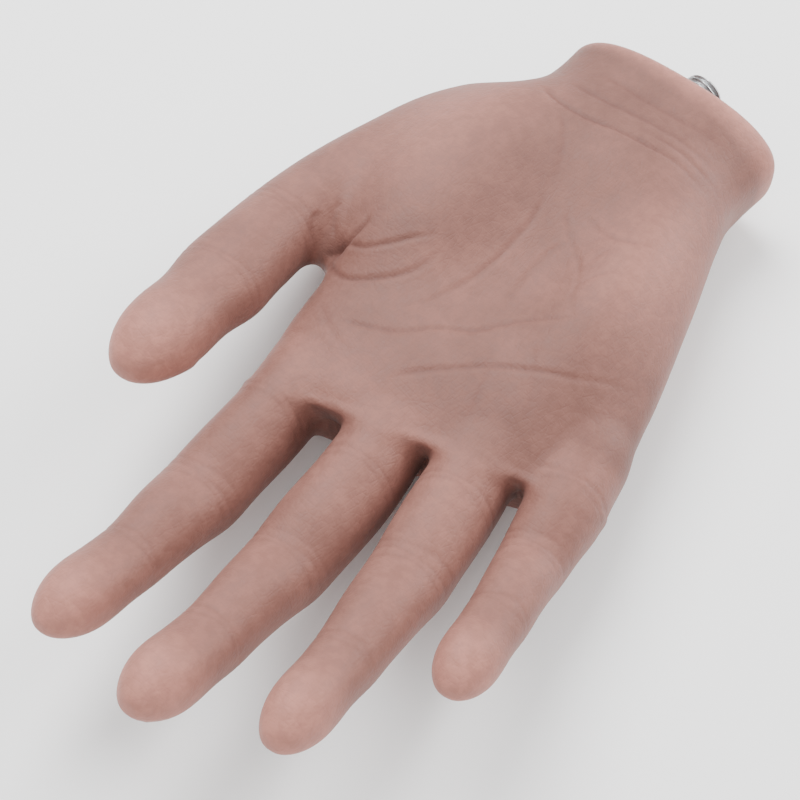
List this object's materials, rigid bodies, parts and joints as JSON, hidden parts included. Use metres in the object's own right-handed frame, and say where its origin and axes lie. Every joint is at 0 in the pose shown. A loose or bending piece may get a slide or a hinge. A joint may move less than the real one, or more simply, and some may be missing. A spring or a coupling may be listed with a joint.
{
  "type": "prosthetic hand",
  "caption": "Posable passive right hand prosthesis: silicone skin over a palm core and hinged finger links, with a flared cuff and a wrist stud.",
  "frame": {"origin": "on the wrist stud's axis, in the plane of the wrist disc's outer face", "axes": "+Y out of the wrist along the stud, towards the forearm; +Z out of the palm; the thumb is on the -X side"},
  "size_m": [0.1312, 0.2113, 0.0428],
  "materials": {
    "skin_silicone": "soft matte silicone, tinted through, faintly mottled",
    "fingertip_silicone": "soft matte silicone, pinker at the pads",
    "cuff_silicone": "soft matte silicone, paler towards the rim",
    "nail_resin": "satin moulded nail",
    "link_steel": "blanked and tumbled steel",
    "pin_steel": "riveted steel",
    "frame_aluminium": "bead blasted aluminium",
    "core_foam": "rigid closed-cell foam",
    "disc_resin": "laminated resin, satin black",
    "stud_steel": "turned stainless steel",
    "screw_steel": "blackened steel"
  },
  "bodies": {
    "palm": {"palm_skin": "skin_silicone", "cuff_skin": "cuff_silicone", "palm_core": "core_foam", "palm_frame": "frame_aluminium", "wrist_disc": "disc_resin", "wrist_stud": "stud_steel", "wrist_nut": "stud_steel", "wrist_washer": "stud_steel", "disc_screws": "screw_steel", "finger_root_pins": "pin_steel", "thumb_swing_pin": "pin_steel"},
    "index_proximal": {"index_proximal_skin": "skin_silicone", "index_proximal_link": "link_steel", "index_middle_pin": "pin_steel"},
    "index_middle": {"index_middle_skin": "skin_silicone", "index_middle_link": "link_steel", "index_distal_pin": "pin_steel"},
    "index_distal": {"index_distal_skin": "fingertip_silicone", "index_distal_link": "link_steel", "index_nail": "nail_resin"},
    "middle_proximal": {"middle_proximal_skin": "skin_silicone", "middle_proximal_link": "link_steel", "middle_middle_pin": "pin_steel"},
    "middle_middle": {"middle_middle_skin": "skin_silicone", "middle_middle_link": "link_steel", "middle_distal_pin": "pin_steel"},
    "middle_distal": {"middle_distal_skin": "fingertip_silicone", "middle_distal_link": "link_steel", "middle_nail": "nail_resin"},
    "ring_proximal": {"ring_proximal_skin": "skin_silicone", "ring_proximal_link": "link_steel", "ring_middle_pin": "pin_steel"},
    "ring_middle": {"ring_middle_skin": "skin_silicone", "ring_middle_link": "link_steel", "ring_distal_pin": "pin_steel"},
    "ring_distal": {"ring_distal_skin": "fingertip_silicone", "ring_distal_link": "link_steel", "ring_nail": "nail_resin"},
    "pinky_proximal": {"pinky_proximal_skin": "skin_silicone", "pinky_proximal_link": "link_steel", "pinky_middle_pin": "pin_steel"},
    "pinky_middle": {"pinky_middle_skin": "skin_silicone", "pinky_middle_link": "link_steel", "pinky_distal_pin": "pin_steel"},
    "pinky_distal": {"pinky_distal_skin": "fingertip_silicone", "pinky_distal_link": "link_steel", "pinky_nail": "nail_resin"},
    "thumb_base": {"thumb_base_skin": "skin_silicone", "thumb_bracket": "frame_aluminium", "thumb_root_pin": "pin_steel"},
    "thumb_proximal": {"thumb_proximal_skin": "skin_silicone", "thumb_proximal_link": "link_steel", "thumb_distal_pin": "pin_steel"},
    "thumb_distal": {"thumb_distal_skin": "fingertip_silicone", "thumb_distal_link": "link_steel", "thumb_nail": "nail_resin"}
  },
  "joints": [
    {"name": "index_root", "type": "hinge", "parent": "palm", "child": "index_proximal", "pos_m": [-0.0026, -0.1269, -0.0012], "axis": [-0.9792, -0.2028, 0], "range_deg": [-10, 28]},
    {"name": "index_middle", "type": "hinge", "parent": "index_proximal", "child": "index_middle", "pos_m": [0.00149, -0.14665, -0.00014], "axis": [-0.9792, -0.2028, 0], "range_deg": [-14, 48]},
    {"name": "index_tip", "type": "hinge", "parent": "index_middle", "child": "index_distal", "pos_m": [0.00576, -0.16727, 0.00511], "axis": [-0.9792, -0.2028, 0], "range_deg": [-13, 33]},
    {"name": "middle_root", "type": "hinge", "parent": "palm", "child": "middle_proximal", "pos_m": [0.0224, -0.1249, -0.0004], "axis": [-0.9715, -0.2368, 0], "range_deg": [-11, 27]},
    {"name": "middle_middle", "type": "hinge", "parent": "middle_proximal", "child": "middle_middle", "pos_m": [0.02741, -0.14545, 0.00108], "axis": [-0.9715, -0.2368, 0], "range_deg": [-19, 43]},
    {"name": "middle_tip", "type": "hinge", "parent": "middle_middle", "child": "middle_distal", "pos_m": [0.03308, -0.16873, 0.0098], "axis": [-0.9715, -0.2368, 0], "range_deg": [-12, 34]},
    {"name": "ring_root", "type": "hinge", "parent": "palm", "child": "ring_proximal", "pos_m": [0.043, -0.1149, 0.001], "axis": [-0.9573, -0.289, 0], "range_deg": [-17, 21]},
    {"name": "ring_middle", "type": "hinge", "parent": "ring_proximal", "child": "ring_middle", "pos_m": [0.04767, -0.13036, 0.00385], "axis": [-0.9573, -0.289, 0], "range_deg": [-10, 52]},
    {"name": "ring_tip", "type": "hinge", "parent": "ring_middle", "child": "ring_distal", "pos_m": [0.05475, -0.15383, 0.01158], "axis": [-0.9573, -0.289, 0], "range_deg": [-9, 37]},
    {"name": "pinky_root", "type": "hinge", "parent": "palm", "child": "pinky_proximal", "pos_m": [0.0578, -0.0972, 0.0002], "axis": [-0.9455, -0.3256, 0], "range_deg": [-15, 23]},
    {"name": "pinky_middle", "type": "hinge", "parent": "pinky_proximal", "child": "pinky_middle", "pos_m": [0.06206, -0.10956, 0.00204], "axis": [-0.9455, -0.3256, 0], "range_deg": [-13, 49]},
    {"name": "pinky_tip", "type": "hinge", "parent": "pinky_middle", "child": "pinky_distal", "pos_m": [0.06741, -0.12512, 0.00738], "axis": [-0.9455, -0.3256, 0], "range_deg": [-6, 40]},
    {"name": "thumb_swing", "type": "hinge", "parent": "palm", "child": "thumb_base", "pos_m": [-0.0333, -0.05, 0], "axis": [-0.2487, 0.9686, 0], "range_deg": [-8, 14]},
    {"name": "thumb_root", "type": "hinge", "parent": "thumb_base", "child": "thumb_proximal", "pos_m": [-0.0387, -0.0883, 0.004], "axis": [-0.9699, -0.2436, 0], "range_deg": [-13, 23]},
    {"name": "thumb_tip", "type": "hinge", "parent": "thumb_proximal", "child": "thumb_distal", "pos_m": [-0.03305, -0.11078, 0.00893], "axis": [-0.9699, -0.2436, 0], "range_deg": [-14, 41]}
  ]
}
